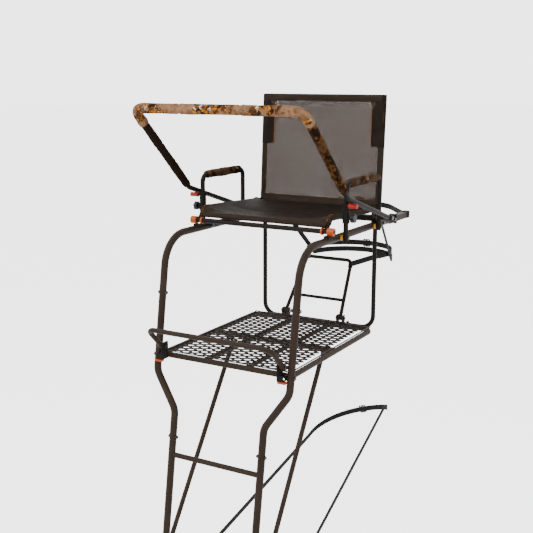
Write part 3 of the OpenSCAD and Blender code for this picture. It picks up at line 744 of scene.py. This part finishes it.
def seat():
    top = cloth("sling", 84, 90, sling_shape(), MATS["sling"], "seat")
    hem = cloth("sling_front_hem", 84, 26, sling_shape(1.5, 0.775, 0.985), MATS["hem"], "seat", 0.9)
    for side in (-1, 1):
        line = bend_path([(side * SEAT_X, 704, SEAT_HINGE[1] + 0.9), (side * SEAT_X, *SEAT_BEND),
                          (side * SEAT_X, SEAT_BEND[0] - 16, SEAT_BEND[1] - 19)], 14, 6)
        wrap = sleeve("sling_side_%d" % (side > 0), line,
                      lambda s, total, d: mm(TUBE_R + 1.6) + 0.0006 * noise.noise(Vector((s * 40, d.z, d.x))),
                      MATS["hem"], 24, mm(TUBE_R + 0.3))
        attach(wrap, "seat")
        edge = bend_path([(side * (SEAT_X - 4), 330, 540), (side * (SEAT_X - 3), 302, 541.5),
                          (side * (SEAT_X - 5), 262, 506), (side * (SEAT_X - 5), 264, 498)], 6, 3)
        pipe = sleeve("sling_piping_%d" % (side > 0), edge, lambda s, total, d: 0.0019,
                      MATS["piping"], 8, 0.0002)
        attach(pipe, "seat")
    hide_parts("seat_fabric")


seat()

# ---------------------------------------------------------------- backrest
BACK_LOW = Vector((0, 764, 540))
BACK_TOP_Z = 962.0
BACK_X = 278.0
BACK_TILT = math.atan2(27.0, BACK_TOP_Z - 540.0)
BACK_H = (BACK_TOP_Z - 540.0) / math.cos(BACK_TILT)


def in_back(x, out, h):
    """A point on the backrest: out is towards the sitter, h is up the frame from its low bend."""
    c, s = math.cos(BACK_TILT), math.sin(BACK_TILT)
    return (x, BACK_LOW.y - out * c + h * s, BACK_LOW.z + out * s + h * c)


def back_line(v, low, high, wrap):
    """Up the panel's front and over the top tube, as (out, h, how free it is to bow)."""
    if v > 0.88:
        a = math.radians(lerp(0, 200, (v - 0.88) / 0.12))
        return wrap * math.cos(a), high + wrap * math.sin(a), 0.0
    t = v / 0.88
    forward = 26.0 * (1 - smooth(t / 0.12)) ** 1.6
    return forward + lerp(2.0, wrap, smooth((t - 0.8) * 5)), lerp(low, high, t), math.sin(math.pi * t) ** 0.7


def back_shape(low, high, wrap, v_from=0.0, v_to=1.0, x_from=-1.0, x_to=1.0, lift=0.0):
    def shape(u, v):
        v = lerp(v_from, v_to, v)
        x = lerp(x_from, x_to, u) * (BACK_X - 2)
        out, h, free = back_line(v, low, high, wrap + lift)
        bow = 10.0 * free * (1 - (x / BACK_X) ** 2) ** 0.8
        out += lift - bow + 1.1 * ripple(x, h, 110, 7.0) * free
        out += 9.0 * (abs(x) / BACK_X) ** 14 * free
        return in_back(x, out, h), (x, h)
    return shape


def backrest():
    low, high, wrap = -28.0, BACK_H, TUBE_R + 1.2
    panel = cloth("back_panel", 64, 70, back_shape(low, high, wrap), MATS["mesh_fabric"], "frame", 0.0)
    top_band = cloth("back_top_hem", 64, 26, back_shape(low, high, wrap, 0.845, 1.0, lift=0.9),
                     MATS["hem"], "frame", 0.8)
    low_band = cloth("back_low_hem", 64, 8, back_shape(low, high, wrap, 0.0, 0.055, lift=0.9),
                     MATS["hem"], "frame", 0.8)
    for side in (-1, 1):
        line = [at(*in_back(side * BACK_X, 0, h)) for h in [low + 6 + k * 10 for k in range(44)]]
        tube = sleeve("back_side_%d" % (side > 0), line, lambda s, total, d:
                      mm(TUBE_R + 1.5) + 0.0007 * noise.noise(Vector((s * 30, d.y * 2, d.x))),
                      MATS["hem"], 24, mm(TUBE_R + 0.3))
        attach(tube, "frame")
        band = cloth("back_side_hem_%d" % (side > 0), 6, 60,
                     back_shape(low, high, wrap, 0.0, 0.86, side * 0.955, side * 1.0, lift=0.9),
                     MATS["hem"], "frame", 0.8)
    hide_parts("backrest_fabric")


def round_section(a):
    """The pocket's flattened outline at angle a: how far across from 0 to 1, and how deep from -1 to 1."""
    c, s = math.cos(a), math.sin(a)
    return 0.5 + 0.5 * math.copysign(abs(c) ** 0.55, c), math.copysign(abs(s) ** 0.9, s)


def pocket(side, node):
    """A ribbed cloth pocket pulled down over one top corner of the frame."""
    low_h, high_h = 222.0, BACK_H + 11.5
    inner, outer = 229.0, 289.5
    verts, uvs, faces = [], [], []
    rows, cols = 34, 44
    for j in range(rows + 1):
        h = lerp(low_h, high_h, j / rows)
        close = math.sqrt(max(0.0, 1 - max(0.0, (j / rows - 0.93) / 0.075) ** 2))
        for i in range(cols + 1):
            across, cy = round_section(2 * math.pi * i / cols)
            x = lerp(inner, outer, across)
            deep = lerp(6.0, 12.6, smooth((x - inner) / 36)) * (0.35 + 0.65 * close)
            flare = 1.6 * (1 - j / rows) ** 8 + 0.9 * ripple(i * 9, h, 60, 3.0 + side)
            verts.append(at(*in_back(side * x, cy * (deep + flare), h)))
            uvs.append((mm(x + (90 if cy < 0 else 0)), mm(h)))
    row = cols + 1
    for j in range(rows):
        for i in range(cols):
            faces.append((j * row + i, j * row + i + 1, (j + 1) * row + i + 1, (j + 1) * row + i))
    faces.append(tuple(rows * row + i for i in range(cols)))
    body = make_object("%s_cloth" % node, verts, faces, uvs, MATS["pocket"])
    weld(body)
    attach(body, "frame")
    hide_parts(node)
    seam = [at(*in_back(side * (inner - 0.5), 5.0, lerp(low_h, high_h - 4, k / 30))) for k in range(31)]
    mouth = []
    for k in range(41):
        across, deep = round_section(2 * math.pi * k / 40)
        half_depth = lerp(7.6, 14.2, smooth(0.5 + 0.5 * math.cos(2 * math.pi * k / 40)))
        mouth.append(at(*in_back(side * lerp(inner, outer, across), deep * half_depth, low_h)))
    piping = sleeve("%s_piping" % node, seam, lambda s, total, d: 0.0022, MATS["piping"], 8, 0.0003)
    hem = sleeve("%s_hem" % node, mouth, lambda s, total, d: 0.0013, MATS["hem"], 6, 0.0003)
    for trim in (piping, hem):
        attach(trim, "frame")


backrest()
pocket(-1, "pocket_left")
pocket(1, "pocket_right")


# ---------------------------------------------------------------- camouflage padding
SHOOT_X = 352.0
ARMREST_X = 322
CORNER = (-52.0, 936.0)
ELBOW = (296.0, 609.0)
ARM_WAY = Vector((0, ELBOW[0] - CORNER[0], ELBOW[1] - CORNER[1])).normalized()


def padding(name, corners, radius, bore, material, node, body, seed, sag=2.2, flare=0.0, cuffs=()):
    """A padded cloth sleeve: wrinkled, a little slack underneath, drawn in at its ends and at the
    cuffs, which are places from 0 to 1 along it."""
    path = bend_path(corners, 45, 4.0)

    def reach(s, total, d):
        t = s / total
        r = radius
        ring = noise.noise(Vector((s * 16, seed, 0.3))) + 0.5 * noise.noise(Vector((s * 55, d.z * 0.7, seed)))
        r += 1.1 * ring + 0.8 * noise.noise(Vector((s * 22, d.z * 1.5 + d.y, seed + 5)))
        r += sag * max(0.0, -d.z) ** 2 * (0.55 + 0.9 * noise.noise(Vector((s * 11, seed * 2, 1.0))))
        for cuff in cuffs:
            r -= 1.6 * math.exp(-(((t - cuff) * total) / 0.006) ** 2)
            r += 0.9 * math.exp(-((abs(t - cuff) * total - 0.012) / 0.006) ** 2)
        ends = min(s, total - s)
        r -= 1.6 * math.exp(-(ends / 0.012) ** 2)
        r += 1.0 * math.exp(-((ends - 0.010) / 0.004) ** 2)
        r += flare * math.exp(-(s / 0.022) ** 2)
        return mm(r)

    piece = sleeve(name, path, reach, material, 40, mm(bore))
    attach(piece, body)
    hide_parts(node)
    return piece


def beside(side, along, base=CORNER):
    p = Vector((side * SHOOT_X, *base)) + ARM_WAY * along
    return tuple(p)


padding("pad_front", [beside(-1, 86), beside(-1, 0), beside(1, 0), beside(1, 70)], 17.6, 10.4,
        MATS["tan_camo"], "rail_pad_front", "shooting_rail", 1.0, 3.4, 2.6, (0.33, 0.64))
padding("pad_arm_left", [beside(-1, 74), beside(-1, 78), beside(-1, -18, ELBOW)], 16.6, 10.4,
        MATS["dark_camo"], "rail_pad_left", "shooting_rail", 2.0, 2.0, 0.0, (0.36, 0.66))
padding("pad_arm_right", [beside(1, 56), beside(1, 60), beside(1, -50, ELBOW)], 16.8, 10.4,
        MATS["brown_camo"], "rail_pad_right", "shooting_rail", 3.0, 2.0, 0.0, (0.2, 0.43, 0.72))
for hand, node in ((-1, "armrest_pad_left"), (1, "armrest_pad_right")):
    padding(node + "_cloth", [(hand * ARMREST_X, y, z) for y, z in ((378, 655.5), (500, 656), (634, 655.5))],
            15.8, 9.8, MATS["arm_camo"], node, "frame", 4.0 + hand, 3.2, 0.0, (0.5,))

# ---------------------------------------------------------------- stage, light and finish
FLOOR_R = 150.0
floor = make_object("floor", [Vector((FLOOR_R * math.cos(a), FLOOR_R * math.sin(a), -0.0005)) for a in
                              [2 * math.pi * k / 64 for k in range(64)]], [tuple(range(64))], None, None)
floor_look = Shader("floor")
floor_look.set(Base_Color=(0.96, 0.96, 0.96), Roughness=1.0, Specular_IOR_Level=0.0)
floor.data.materials.append(floor_look.mat)

world = bpy.data.worlds.new("studio")
world.use_nodes = True
world.node_tree.nodes["Background"].inputs["Color"].default_value = (1.0, 1.0, 1.0, 1.0)
world.node_tree.nodes["Background"].inputs["Strength"].default_value = 3.6
SCENE.world = world


def soft_light(name, place, target, size, power):
    data = bpy.data.lights.new(name, "AREA")
    data.shape = "DISK"
    data.size = size
    data.energy = power
    lamp = bpy.data.objects.new(name, data)
    lamp.location = place
    lamp.rotation_euler = (Vector(target) - Vector(place)).to_track_quat("-Z", "Y").to_euler()
    SCENE.collection.objects.link(lamp)


middle = at(0, 300, 500)
soft_light("key", middle + Vector((-3.5, -5.5, 5.0)), middle, 3.0, 900)
soft_light("fill", middle + Vector((5.5, -4.0, 1.5)), middle, 4.0, 220)
soft_light("rim", middle + Vector((1.5, 6.0, 4.0)), middle, 3.0, 60)
